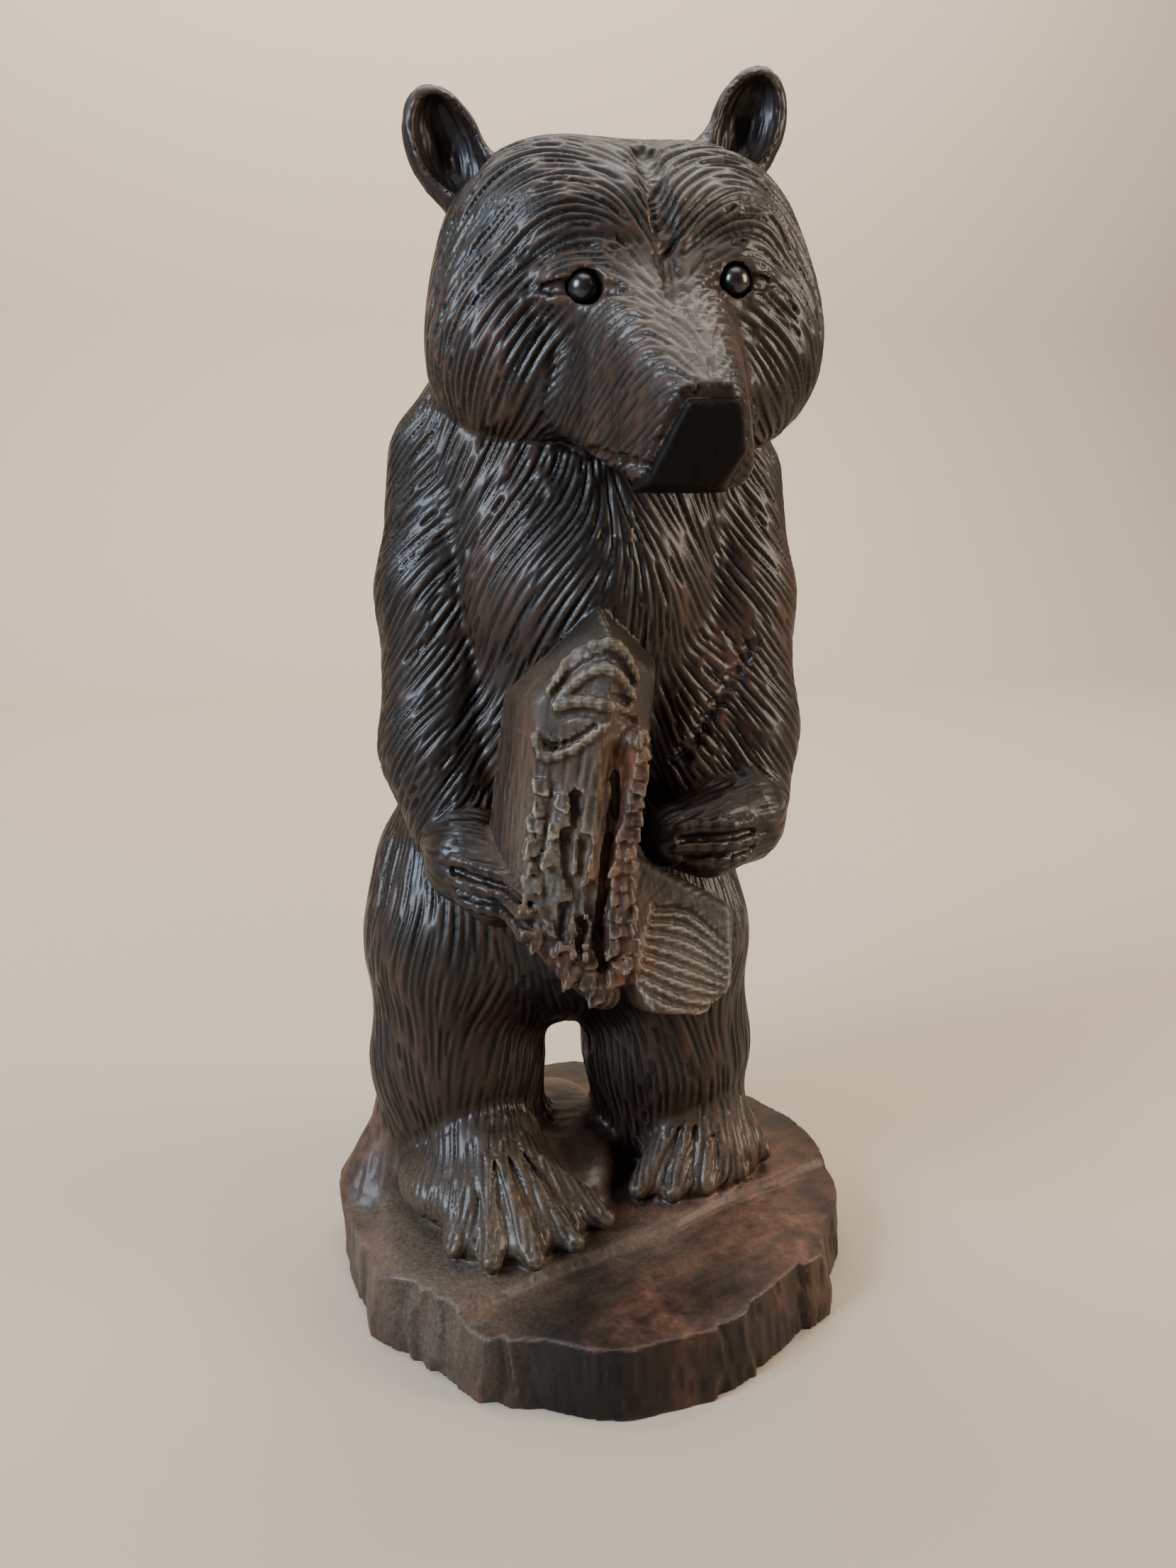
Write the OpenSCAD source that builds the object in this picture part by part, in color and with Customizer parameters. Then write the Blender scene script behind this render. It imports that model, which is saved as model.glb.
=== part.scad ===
// Carved wooden bear standing on a rough round slab, holding a salmon.
// The bear faces -Y and its left side is +X. The origin is under the middle of the slab.

/* [Overall] */
// Height of the whole figure, up to the tip of the taller ear
figure_h = 255; // [245:1:265]
// Width over both upper arms
shoulder_w = 88; // [84:1:92]

/* [Slab] */
// Width of the slab, from side to side
slab_w = 119; // [118:1:126]
// Depth of the slab, from front to back
slab_d = 119; // [118:1:126]
// Height of the slab's front rim
rim_h = 13; // [11:0.5:14]
// Height of the ground that the bear stands on
ground_h = 17; // [16:0.5:18]

/* [Head] */
// Width over both cheeks
head_w = 81; // [78:1:84]
// How far the nose stands in front of the middle of the skull
nose_reach = 57; // [55:0.5:59]
// Diameter of a bead eye
bead_d = 5.8; // [5.4:0.2:6.2]

/* [Ears] */
// Width of an ear
ear_w = 20; // [18:0.5:21]
// Thickness of an ear's rim
ear_rim = 2.4; // [2:0.2:3]

/* [Salmon] */
// Width of the salmon's body
salmon_w = 31; // [28:0.5:33]
// Spread of the salmon's tail fin
fin_w = 24; // [22:0.5:26]

/* [Hidden] */

// Facets round a carved form, round a limb and round the eyes
form_fn = 26;
limb_fn = 18;
eye_fn = 32;

// Scale of the figure against the nominal one, which is 88 mm over the arms and 238 mm above ground
girth = shoulder_w / 88;
rise = (figure_h - ground_h) / 238;

// A point on the figure: across, front to back, and up from the ground, in nominal millimetres
function at(across, deep, up) = [across * girth, deep * girth, ground_h + up * rise];

// Landmarks of the body, which leans a little to the bear's left as it rises
hip_mid = at(-6, 14, 66);
chest_mid = at(0, 13, 130);
skull_mid = at(8, 10, 196);
right_bead = at(-5.3, -18.6, 192.4);
left_bead = at(23.2, -17.6, 194.4);
cheek_r = [21, 22, 20] * (head_w / 81);
nose_mid = skull_mid + [2, -nose_reach + 3, -30];

// An ellipsoid, with one radius or three
module ball(p, r, fn = form_fn) {
    translate(p) scale(is_list(r) ? r : [r, r, r]) sphere(r = 1, $fn = fn);
}

// A limb through a chain of balls, each given as [place, radii]
module limb(balls) {
    for (i = [0 : len(balls) - 2])
        hull() {
            ball(balls[i][0], balls[i][1], limb_fn);
            ball(balls[i + 1][0], balls[i + 1][1], limb_fn);
        }
}

// One smooth form round all the balls
module mass(balls, fn = form_fn) {
    hull() for (b = balls) ball(b[0], b[1], fn);
}

/* Slab: a slice of log with a few flats hewn on its front */

// Half the slab's outline follows an ellipse; each flat pulls it in, most at the flat's own angle
flats = [[195, 3, 14], [228, 2, 14], [250, 1, 12], [308, 6, 20], [338, 3, 12], [30, 2, 20], [105, 3, 14],
         [150, 2, 16]];
function pull(a) = max([for (f = flats) f[1] * max(0, 1 - abs(a - f[0]) / f[2])]);
function rim(a, inset) = [(slab_w / 2 - inset - pull(a)) * cos(a), (slab_d / 2 - inset - pull(a)) * sin(a)];
slab_steps = 36;

module slab_layer(z, inset) {
    translate([0, 0, z]) linear_extrude(height = 0.5)
        polygon([for (i = [0 : slab_steps - 1]) rim(i * 360 / slab_steps, inset)]);
}

// The ground under the feet ends at a hewn step, which runs aslant in front of the toes
module ground() {
    hull() {
        translate([0, 0, ground_h - 0.5]) linear_extrude(height = 0.5)
            polygon([[-46, -14], [-36, -34], [-20, -40], [2, -32], [44, -14], [54, 4], [50, 22], [36, 42],
                     [10, 52], [-18, 51], [-40, 38], [-50, 14]]);
        translate([0, 0, rim_h - 2]) linear_extrude(height = 0.5)
            polygon([[-50, -16], [-40, -37], [-20, -44], [4, -36], [47, -18], [56, 4], [52, 24], [38, 43],
                     [10, 55], [-18, 54], [-42, 40], [-54, 14]]);
    }
}

module slab_form() {
    hull() {
        slab_layer(0, 0);
        slab_layer(rim_h / 2, 0.6);
        slab_layer(rim_h - 0.5, 4.5);
    }
    ground();
}

/* Legs and feet: the right foot is a stride ahead of the left one */

right_toes = [at(-31, -20, 4), at(-22, -26, 4), at(-12, -23, 4), at(-3, -17, 4)];
left_toes = [at(11, -11, 4), at(20, -10, 4), at(30, -6, 4), at(39, 1, 4)];
toe_r = [6, 9, 6];

module foot_form(toes, heel, instep) {
    intersection() {
        union() {
            for (t = toes)
                hull() {
                    ball(t, toe_r, limb_fn);
                    ball(instep, [9, 9, 9], limb_fn);
                }
            mass([[toes[0], toe_r], [toes[3], toe_r], [instep, [11, 10, 10]], [heel, [15, 14, 9]]], limb_fn);
        }
        translate([-slab_w, -slab_d, ground_h]) cube([2 * slab_w, 2 * slab_d, figure_h]);
    }
}

module right_foot_form() {
    foot_form(right_toes, at(-29, 14, 4), at(-25, -4, 10));
}

module left_foot_form() {
    foot_form(left_toes, at(23, 16, 4), at(23, 4, 10));
}

module leg_form(haunch, shin, ankle) {
    intersection() {
        limb([[haunch, [21, 25, 25]], [shin, [19.5, 19, 17]], [ankle, [16, 16, 12]]]);
        translate([-slab_w, -slab_d, ground_h]) cube([2 * slab_w, 2 * slab_d, figure_h]);
    }
}

module right_leg_form() {
    leg_form(at(-30, 14, 56), at(-31.5, 11, 28), at(-29, 11, 9));
}

module left_leg_form() {
    leg_form(at(18.5, 14, 55), at(20.5, 11, 28), at(23, 13, 9));
}

/* Body */

module hips_form() {
    mass([[hip_mid + [0, 4, 8], [41, 28, 24]], [hip_mid + [-2, 2, -8], [36, 26, 20]],
          [hip_mid + [2, -13, 0], [22, 16, 20]]]);
}

module torso_form() {
    mass([[chest_mid + [-12, 4, 30], [25, 24, 22]], [chest_mid + [14, 2, 30], [24, 24, 22]],
          [chest_mid + [0, -4, 0], [30, 26, 28]], [chest_mid + [-3, -1, -32], [35, 27, 20]]]);
}

/* Arms: each hangs from the shoulder, and its paw turns in to hold the fish */

right_elbow = at(-30, -5, 87);
left_elbow = at(31, -8, 91);

module right_arm_form() {
    limb([[at(-24, 16, 161), [15, 18, 18]], [at(-31.5, 10, 132), 13], [at(-32, 2, 103), 12],
          [right_elbow, 9.5]]);
}

module left_arm_form() {
    limb([[at(28, 11, 158), [14, 16, 17]], [at(31.5, 5, 132), 12.5], [at(32, -3, 106), 12],
          [left_elbow, 10]]);
}

module right_paw_form() {
    limb([[at(-28, -11, 84), [9, 9, 9]], [at(-21, -21, 80), [8.5, 7, 8]]]);
    limb([[at(-21, -21, 80), [8.5, 7, 8]], [at(-14, -25, 82), [6, 6, 7]]]);
}

module left_paw_form() {
    limb([[at(29, -14, 89), [9, 8, 8.5]], [at(20, -20, 88), [8.5, 7, 7]]]);
    limb([[at(20, -20, 88), [8.5, 7, 7]], [at(11, -23, 89), [6, 6, 6.5]]]);
}

/* Salmon: head up against the chest, tail swung out over the bear's left leg */

fish_mid = at(-6, -25, 100);
fin_root = at(-3, -36, 67);
gill = 14;

module salmon_head_form() {
    half = salmon_w / 2;
    mass([[fish_mid + [4, 5, 32], [5, 4, 4]], [fish_mid + [0, 1, gill + 6], [half - 1, 9, 9]],
          [fish_mid + [-1, -3, gill + 2], [half / 2, 8, 8]]], limb_fn);
}

module salmon_body_form() {
    half = salmon_w / 2;
    mass([[fish_mid + [-1, 0, gill], [half, 9, 5]], [fish_mid + [-1, -4, 4], [half - 2, 9, 9]],
          [fish_mid + [0, -6, -16], [half - 5, 8, 9]], [fin_root, [5, 5, 6]]], limb_fn);
}

module salmon_tail_form() {
    mass([[fin_root, [4, 4, 5]], [fin_root + [10, -5, -fin_w / 3], [2.5, 3, 2.5]],
          [fin_root + [fin_w, 2, 0], [2.5, 3, 2.5]], [fin_root + [19, 6, 11], [3, 3, 3]],
          [fin_root + [8, 2, 12], [4, 4, 4]]], limb_fn);
}

/* Head */

module head_form() {
    mass([[skull_mid + [0, 0, 8], [34, 28, 20]], [skull_mid + [-20, -3, -11], cheek_r],
          [skull_mid + [19, -5, -9], cheek_r], [skull_mid + [0, -12, -22], [17, 13, 11]]]);
    for (side = [-1, 1])
        ball(skull_mid + [side * 13 + 1, -12, 5], [14, 13, 11], limb_fn);
}

module muzzle_form() {
    mass([[skull_mid + [1, -17, -7], [16, 11, 14]], [skull_mid + [-2, -24, -23], [17, 12, 12]],
          [nose_mid + [0.5, 11, 1.5], [7.5, 6, 7.5]]]);
}

// The nose is a blunt block with hewn flats
module nose_form() {
    face = [[-3, -1, 7.5], [6, 0, 6.5], [8, 4, -1], [5, 7.5, -7], [-5, 6.5, -8], [-6, 3, 0]];
    hull() for (f = face) {
        ball(nose_mid + f, 1, 14);
        ball(nose_mid + f * 0.9 + [0, 8, 3], 1, 14);
    }
}

// Each socket is drilled straight back, as wide as the bead that is pushed into it
module sockets() {
    for (bead = [right_bead, left_bead])
        translate(bead) rotate([-90, 0, 0]) {
            translate([0, 0, -12]) cylinder(d = bead_d, h = 12, $fn = eye_fn);
            sphere(d = bead_d, $fn = eye_fn);
        }
}

// An ear is a rounded leaf, hollowed in front, that leans out over its cheek
module ear_form(root, tip, turn) {
    lean = atan2(tip[0] - root[0], tip[2] - root[2]);
    tall = norm(tip - root);
    translate(root) rotate([0, lean, 0]) rotate([0, 0, turn]) difference() {
        union() {
            hull() {
                translate([0, 0, tall - ear_w / 2]) scale([ear_w / 2, 4.5, ear_w / 2]) sphere(1, $fn = form_fn);
                scale([ear_w / 2 - 1.5, 5.5, 6]) sphere(1, $fn = form_fn);
            }
        }
        hull() {
            translate([0, -4, tall - ear_w / 2])
                scale([ear_w / 2 - ear_rim, 5.5, ear_w / 2 - ear_rim]) sphere(1, $fn = form_fn);
            translate([0, -6.5, 6]) scale([5, 5, 5]) sphere(1, $fn = form_fn);
        }
    }
}

module right_ear_form() {
    ear_form(skull_mid + [-25.5, 5, 16], at(-31, 19, 231.5), -12);
}

module left_ear_form() {
    ear_form(skull_mid + [20, 1, 24], at(34, 10, 238), 14);
}

/* Nodes: each form gives way to the forms that lie over it, so neighbours meet face to face */

module base_slab() {
    color("#4a2f27") slab_form();
}

module right_foot() {
    color("#3a2a26") difference() {
        right_foot_form();
        right_leg_form();
    }
}

module left_foot() {
    color("#3a2a26") difference() {
        left_foot_form();
        left_leg_form();
    }
}

module right_leg() {
    color("#35251f") difference() {
        right_leg_form();
        hips_form();
        right_paw_form();
    }
}

module left_leg() {
    color("#35251f") difference() {
        left_leg_form();
        right_leg_form();
        hips_form();
        salmon_tail_form();
    }
}

module hips() {
    color("#30221f") difference() {
        hips_form();
        torso_form();
        right_arm_form();
        left_arm_form();
        right_paw_form();
        left_paw_form();
        salmon_body_form();
        salmon_tail_form();
    }
}

module torso() {
    color("#33241f") difference() {
        torso_form();
        head_form();
        muzzle_form();
        right_arm_form();
        left_arm_form();
        right_paw_form();
        left_paw_form();
        salmon_head_form();
        salmon_body_form();
    }
}

module right_arm() {
    color("#2c2120") difference() {
        right_arm_form();
        head_form();
        right_paw_form();
    }
}

module left_arm() {
    color("#33241f") difference() {
        left_arm_form();
        head_form();
        left_paw_form();
    }
}

module right_paw() {
    color("#262024") difference() {
        right_paw_form();
        salmon_body_form();
    }
}

module left_paw() {
    color("#262024") difference() {
        left_paw_form();
        salmon_body_form();
        salmon_tail_form();
    }
}

module salmon_head() {
    color("#5a463a") difference() {
        salmon_head_form();
        salmon_body_form();
    }
}

module salmon_body() {
    color("#5f4432") salmon_body_form();
}

module salmon_tail() {
    color("#6a5646") difference() {
        salmon_tail_form();
        salmon_body_form();
    }
}

module head() {
    color("#3d2a24") difference() {
        head_form();
        muzzle_form();
        sockets();
    }
}

module muzzle() {
    color("#4a352c") difference() {
        muzzle_form();
        nose_form();
        sockets();
    }
}

module nose() {
    color("#171314") nose_form();
}

module right_ear() {
    color("#3d2a24") difference() {
        right_ear_form();
        head_form();
    }
}

module left_ear() {
    color("#3d2a24") difference() {
        left_ear_form();
        head_form();
    }
}

module right_eye() {
    color("#0a0a0c") translate(right_bead) sphere(d = bead_d, $fn = eye_fn);
}

module left_eye() {
    color("#0a0a0c") translate(left_bead) sphere(d = bead_d, $fn = eye_fn);
}

base_slab();
right_foot();
left_foot();
right_leg();
left_leg();
hips();
torso();
right_arm();
left_arm();
right_paw();
left_paw();
salmon_head();
salmon_body();
salmon_tail();
head();
muzzle();
nose();
right_ear();
left_ear();
right_eye();
left_eye();
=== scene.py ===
"""Looks for the carved wooden bear: one carved billet, split into its named forms, and two bead eyes.

The billet is sculpted as one distance field in millimetres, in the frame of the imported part. It is
meshed, cut with gouge strokes, and split again into one closed piece for each node of the frame.
"""

import math

import bpy
import numpy as np
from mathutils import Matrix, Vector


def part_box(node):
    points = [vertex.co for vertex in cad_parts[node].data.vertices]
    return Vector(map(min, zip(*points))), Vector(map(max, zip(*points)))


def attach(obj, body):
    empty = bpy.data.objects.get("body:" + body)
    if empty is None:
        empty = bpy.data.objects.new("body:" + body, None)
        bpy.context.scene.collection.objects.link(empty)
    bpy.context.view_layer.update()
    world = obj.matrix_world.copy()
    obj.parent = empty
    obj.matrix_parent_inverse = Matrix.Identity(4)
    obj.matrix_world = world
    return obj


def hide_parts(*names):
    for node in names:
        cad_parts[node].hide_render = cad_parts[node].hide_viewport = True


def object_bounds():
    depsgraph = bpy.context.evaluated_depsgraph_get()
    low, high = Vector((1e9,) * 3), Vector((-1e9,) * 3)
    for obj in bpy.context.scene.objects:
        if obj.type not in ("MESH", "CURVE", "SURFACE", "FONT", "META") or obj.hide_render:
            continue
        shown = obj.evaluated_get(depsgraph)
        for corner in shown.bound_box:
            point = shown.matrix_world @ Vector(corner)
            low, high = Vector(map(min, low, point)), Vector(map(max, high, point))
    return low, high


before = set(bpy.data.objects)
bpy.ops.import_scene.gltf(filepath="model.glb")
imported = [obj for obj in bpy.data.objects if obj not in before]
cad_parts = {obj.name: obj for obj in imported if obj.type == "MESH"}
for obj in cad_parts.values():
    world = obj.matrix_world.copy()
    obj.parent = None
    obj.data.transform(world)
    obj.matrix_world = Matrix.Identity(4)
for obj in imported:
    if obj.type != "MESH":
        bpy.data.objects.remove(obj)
cad_bounds = [list(corner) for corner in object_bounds()]

MM = 0.001
SEED = 7
CELL = 0.86      # grid cell of the sculpted surface, halved once by subdivision
FAR = np.float32(50.0)
dice = np.random.default_rng(SEED)
node_box = {name: np.array(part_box(name), np.float32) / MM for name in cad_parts}
EYES = ("right_eye", "left_eye")
CARVED = [name for name in node_box if name not in EYES]
FIGURE_LOW = np.array(cad_bounds[0], np.float32) / MM - 4
FIGURE_HIGH = np.array(cad_bounds[1], np.float32) / MM + 4


# ---------------------------------------------------------------- places, from the frame

def mid(node):
    """Middle of a node's box, in millimetres."""
    return node_box[node].mean(0)


def half(node):
    return (node_box[node][1] - node_box[node][0]) / 2


def near(node, x, y, z):
    """A point beside the middle of a node's box, in millimetres."""
    return mid(node) + np.array((x, y, z), np.float32)


def unit(v):
    v = np.asarray(v, np.float32)
    return v / (np.linalg.norm(v, axis=-1, keepdims=True) + 1e-9)


def side_of(node):
    """-1 for the bear's right limbs, 1 for its left."""
    return -1 if node.startswith("right") else 1


# ---------------------------------------------------------------- shapes: each gives a distance

def smooth_min(a, b, k):
    h = np.clip(0.5 + 0.5 * (b - a) / k, 0, 1)
    return b + (a - b) * h - k * h * (1 - h)


def smooth_max(a, b, k):
    return -smooth_min(-a, -b, k)


def length_of(v):
    return np.sqrt(np.einsum("ij,ij->i", v, v))


def ellipsoid(centre, radii, turn=None):
    """turn is a 3 by 3 matrix whose rows are the ellipsoid's own axes."""
    c = np.asarray(centre, np.float32)
    r = np.asarray(radii, np.float32)
    reach = np.full(3, r.max()) if turn is not None else r
    axes = np.eye(3, dtype=np.float32) if turn is None else np.asarray(turn, np.float32).T

    def shape(p):
        q = (p - c) @ axes / r
        k0 = length_of(q)
        k1 = length_of(q / r) + 1e-6
        return k0 * (k0 - 1) / k1

    return shape, c - reach, c + reach


def limb(a, ra, b, rb):
    """A rounded stretch from a to b, with a radius at each end."""
    a = np.asarray(a, np.float32)
    b = np.asarray(b, np.float32)
    axis = b - a
    length2 = np.float32(axis @ axis + 1e-6)

    def shape(p):
        q = p - a
        t = np.clip(q @ axis / length2, 0, 1)
        return length_of(q - t[:, None] * axis) - (np.float32(ra) + np.float32(rb - ra) * t)

    big = max(ra, rb)
    return shape, np.minimum(a, b) - big, np.maximum(a, b) + big


def loft(a, b, up, widths, heights, power=3.0, pinch=0.0, round_ends=2.0):
    """A bar from a to b. widths and heights are half sizes at even stations along it.
    power squares its section, and pinch makes its top narrower than its bottom."""
    a = np.asarray(a, np.float32)
    b = np.asarray(b, np.float32)
    length = float(np.linalg.norm(b - a))
    along = unit(b - a)
    side = unit(np.cross(along, np.asarray(up, np.float32)))
    top = np.cross(side, along)
    stations = np.linspace(0, 1, len(widths))

    def shape(p):
        q = p - a
        s = q @ along / length
        w = np.interp(s, stations, widths).astype(np.float32)
        h = np.interp(s, stations, heights).astype(np.float32)
        y = q @ top / h
        x = q @ side / (w * (1 - pinch * np.clip(y, -1, 1)))
        ring = (np.abs(x) ** power + np.abs(y) ** power) ** (1 / power)
        flank = (ring - 1) * np.minimum(w, h)
        cap = np.maximum(-s, s - 1) * length
        return smooth_max(flank, cap, round_ends)

    reach = max(max(widths) * (1 + abs(pinch)), max(heights))
    return shape, np.minimum(a, b) - reach, np.maximum(a, b) + reach


def block(centre, faces, soften=0.8, size=16.0):
    """A hewn block: faces are (point, outward normal), with points given from the centre."""
    c = np.asarray(centre, np.float32)
    cuts = [(c + np.asarray(point, np.float32), unit(normal)) for point, normal in faces]

    def shape(p):
        d = (p - cuts[0][0]) @ cuts[0][1]
        for point, normal in cuts[1:]:
            d = smooth_max(d, (p - point) @ normal, soften)
        return d

    return shape, c - size, c + size


# ---------------------------------------------------------------- the sculpture

class Form:
    """Shapes blended into one body form, such as an arm, with what is cut from them."""

    def __init__(self, blend):
        self.blend = blend
        self.steps = []
        self.reach = []
        self.low = np.full(3, np.inf)
        self.high = np.full(3, -np.inf)

    def add(self, piece, shape, blend=1.0):
        self.steps.append((piece, shape[0], blend))
        self.reach.append((shape[1] - blend - 3, shape[2] + blend + 3))
        self.low = np.minimum(self.low, shape[1])
        self.high = np.maximum(self.high, shape[2])

    def cut(self, shape, blend=0.6):
        self.steps.append((None, shape[0], blend))
        self.reach.append((shape[1] - blend - 1, shape[2] + blend + 1))

    def touching(self, low, high):
        """The steps that can matter inside a box."""
        reach = np.array(self.reach)
        return [self.steps[i] for i in np.flatnonzero(((reach[:, 0] < high) & (reach[:, 1] > low)).all(1))]

    def distance(self, points, low, high, out=FAR):
        for piece, shape, blend in self.touching(low, high):
            if piece:
                out = smooth_min(out, shape(points), blend)
            else:
                out = smooth_max(out, -shape(points), blend)
        return out


class Sculpture:
    """The forms of the figure, each joined to those before it with a crease of its own width."""

    BLOCK = 9.0

    def __init__(self):
        self.forms = []
        self.last = Form(0)

    def form(self, blend):
        self.forms.append(Form(blend))
        return self.forms[-1]

    def cut(self, shape, blend=0.6):
        self.last.cut(shape, blend)

    def blocks(self, points):
        """Points gathered into small blocks, with each block's corners."""
        cell = ((points - FIGURE_LOW) / self.BLOCK).astype(np.int64)
        key = (cell[:, 0] * 1000 + cell[:, 1]) * 1000 + cell[:, 2]
        order = np.argsort(key, kind="stable")
        starts = np.flatnonzero(np.diff(key[order])) + 1
        for at in np.split(order, starts):
            near_by = points[at]
            yield at, near_by, near_by.min(0), near_by.max(0)

    def distance(self, points):
        points = np.ascontiguousarray(points, np.float32)
        out = np.empty(len(points), np.float32)
        for at, p, low, high in self.blocks(points):
            d = np.full(len(p), FAR, np.float32)
            for form in self.forms:
                if np.any(form.low - 6 > high) or np.any(form.high + 6 < low):
                    continue
                d = smooth_min(d, form.distance(p, low, high), form.blend)
            out[at] = self.last.distance(p, low, high, d) if self.last.steps else d
        return out

    def owner(self, points):
        """Which piece's own shapes lie nearest to each point, as a place in CARVED."""
        label = np.zeros(len(points), np.int32)
        for at, p, low, high in self.blocks(points):
            best = np.full(len(p), FAR, np.float32)
            mine = np.zeros(len(p), np.int32)
            for form in self.forms:
                for piece, shape, _ in form.touching(low, high):
                    if not piece:
                        continue
                    d = shape(p)
                    mine = np.where(d < best, CARVED.index(piece), mine)
                    best = np.minimum(d, best)
            label[at] = mine
        return label

    def front(self, x, z, start=-62.0, end=25.0):
        """The foremost point of the surface at a place across and up."""
        y = np.arange(start, end, 0.5, dtype=np.float32)
        line = np.stack([np.full_like(y, x), y, np.full_like(y, z)], -1)
        d = self.distance(line)
        hit = max(int(np.argmax(d < 0)), 1)
        t = d[hit - 1] / (d[hit - 1] - d[hit])
        return line[hit - 1] + t * (line[hit] - line[hit - 1])

    def over(self, node, *places, count=0):
        """Points on the front of the surface, from places (across, up) beside a node's middle."""
        x, _, z = mid(node)
        if count:
            places = curve(places, count)
        return [self.front(x + across, z + up) for across, up in places]


bear = Sculpture()


def curve(points, count):
    """A smooth line through points, as evenly counted points."""
    p = np.array([points[0], *points, points[-1]], np.float32)
    out = []
    for t in np.linspace(0, len(points) - 1.001, count):
        i, f = int(t), t - int(t)
        a, b, c, d = p[i:i + 4]
        square = 2 * a - 5 * b + 4 * c - d
        cube = 3 * b - a - 3 * c + d
        out.append(0.5 * (2 * b + (c - a) * f + square * f ** 2 + cube * f ** 3))
    return out


def ridge(form, piece, places, radius, sink=0.3, blend=0.8):
    """A raised line over the surface."""
    for a, b in zip(places, places[1:]):
        form.add(piece, limb(a + (0, sink, 0), radius, b + (0, sink, 0), radius), blend)


def score(target, places, radius, lift=0.0, blend=0.5, taper=1.0):
    """A line cut into the surface, that narrows towards its end."""
    sizes = np.linspace(radius, radius * taper, len(places))
    for i in range(len(places) - 1):
        a, b = places[i] - (0, lift, 0), places[i + 1] - (0, lift, 0)
        target.cut(limb(a, sizes[i], b, sizes[i + 1]), blend)


# ---------------------------------------------------------------- the slab

RIM = 15.2
GROUND = float(node_box["base_slab"][1][2])
SLAB = half("base_slab")[:2]

# Flats hewn on the slab's edge: the angle of each in degrees, and its depth
FLATS = ((192, 2), (222, 2.2), (249, 1.2), (276, 0.6), (305, 2.6), (334, 1.8), (30, 1.5), (68, 1), (105, 2),
         (150, 1.5))

# Flutes between them: the angle, depth and darkness of each
FLUTES = 84
flute_angle = np.sort(dice.uniform(0, 360, FLUTES))
flute_depth = 1.2 * dice.uniform(0, 1.3, FLUTES) ** 1.6
flute_tone = dice.choice((0.0, 0.1, 0.45, 0.9), FLUTES)


def slab_edge(angle):
    """How far the slab's edge is hewn back, by angle in degrees."""
    pull = np.zeros_like(angle)
    for centre, depth in FLATS:
        gap = np.abs((angle - centre + 180) % 360 - 180)
        chord = SLAB[0] - (SLAB[0] - depth) / np.cos(np.radians(np.minimum(gap, 60)))
        pull = np.maximum(pull, chord)
    return pull


def waves(x, y, scale, seed):
    """Smooth, repeatable unevenness between about -1 and 1."""
    turn = np.random.default_rng(seed).uniform(0, 2 * math.pi, (5, 2)).astype(np.float32)
    out = 0
    for i, (heading, phase) in enumerate(turn):
        f = np.float32((0.7 + 0.35 * i) / scale)
        out = out + np.sin((x * np.cos(heading) + y * np.sin(heading)) * f + phase)
    return out / 3


def ground_height(x, y):
    """Top of the slab: the trodden ground under the feet, a hewn step, and a worn front rim."""
    step = (y + 31 - 0.43 * (x + 10)) * 0.92
    step = np.minimum(step, (x + 50) * 0.9)
    rise = 1 / (1 + np.exp(-np.clip((step + 1.1 * waves(x, y, 7, 3)) / 0.55, -20, 20)))
    front = RIM + 0.5 * waves(x, y, 22, 4) - 1.5 * np.exp(np.minimum(step, 0) / 11)
    back = GROUND - 0.6 + 0.35 * waves(x, y, 15, 5)
    edge = np.maximum(np.hypot(x / SLAB[0], y / SLAB[1]) - 0.86, 0) * 8
    return front + (back - front) * rise - edge


def slab_shape():
    def shape(p):
        x, y, z = p.T
        angle = np.degrees(np.arctan2(y, x)) % 360
        r = np.hypot(x, y)
        reach = r / (np.hypot(x / SLAB[0], y / SLAB[1]) + 1e-6)
        lean = 2.4 * np.clip((z - 4) / 10, 0, 1) * np.clip(-y / 30, 0.3, 1)
        turned = (angle + 1.2 * np.sin(z * 0.35 + angle * 0.4)) % 360
        flutes = np.interp(turned, flute_angle, flute_depth, period=360)
        wall = r - (reach - slab_edge(angle) - lean - 0.4 - flutes)
        top = (z - ground_height(x, y)) * 0.96
        return smooth_max(smooth_max(wall, top, 0.4), -z, 0.4).astype(np.float32)

    return shape, node_box["base_slab"][0], node_box["base_slab"][1]


# ---------------------------------------------------------------- legs and feet

def lump(form, node, place, radii, blend):
    """A rounded mass, centred at a place beside a node's middle."""
    form.add(node, ellipsoid(near(node, *place), radii), blend)


def chain(form, node, places, radii, blend):
    """Tapered limbs from place to place, beside a node's middle."""
    points = [near(node, *place) for place in places]
    for i in range(len(points) - 1):
        form.add(node, limb(points[i], radii[i], points[i + 1], radii[i + 1]), blend)


def legs():
    """The haunch, shin and ankle of each leg."""
    form = bear.form(4.0)
    sizes = (((21, 25, 25), 7), ((20.5, 20, 24), 8), ((18, 17, 15), 6))
    for node, places in (("right_leg", ((1, 0, 19), (0.6, -3, -9), (3, -3, -26))),
                         ("left_leg", ((-1.3, 0, 18), (0, -3, -9), (1.6, -1, -26)))):
        for place, (radii, blend) in zip(places, sizes):
            lump(form, node, place, radii, blend)


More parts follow.
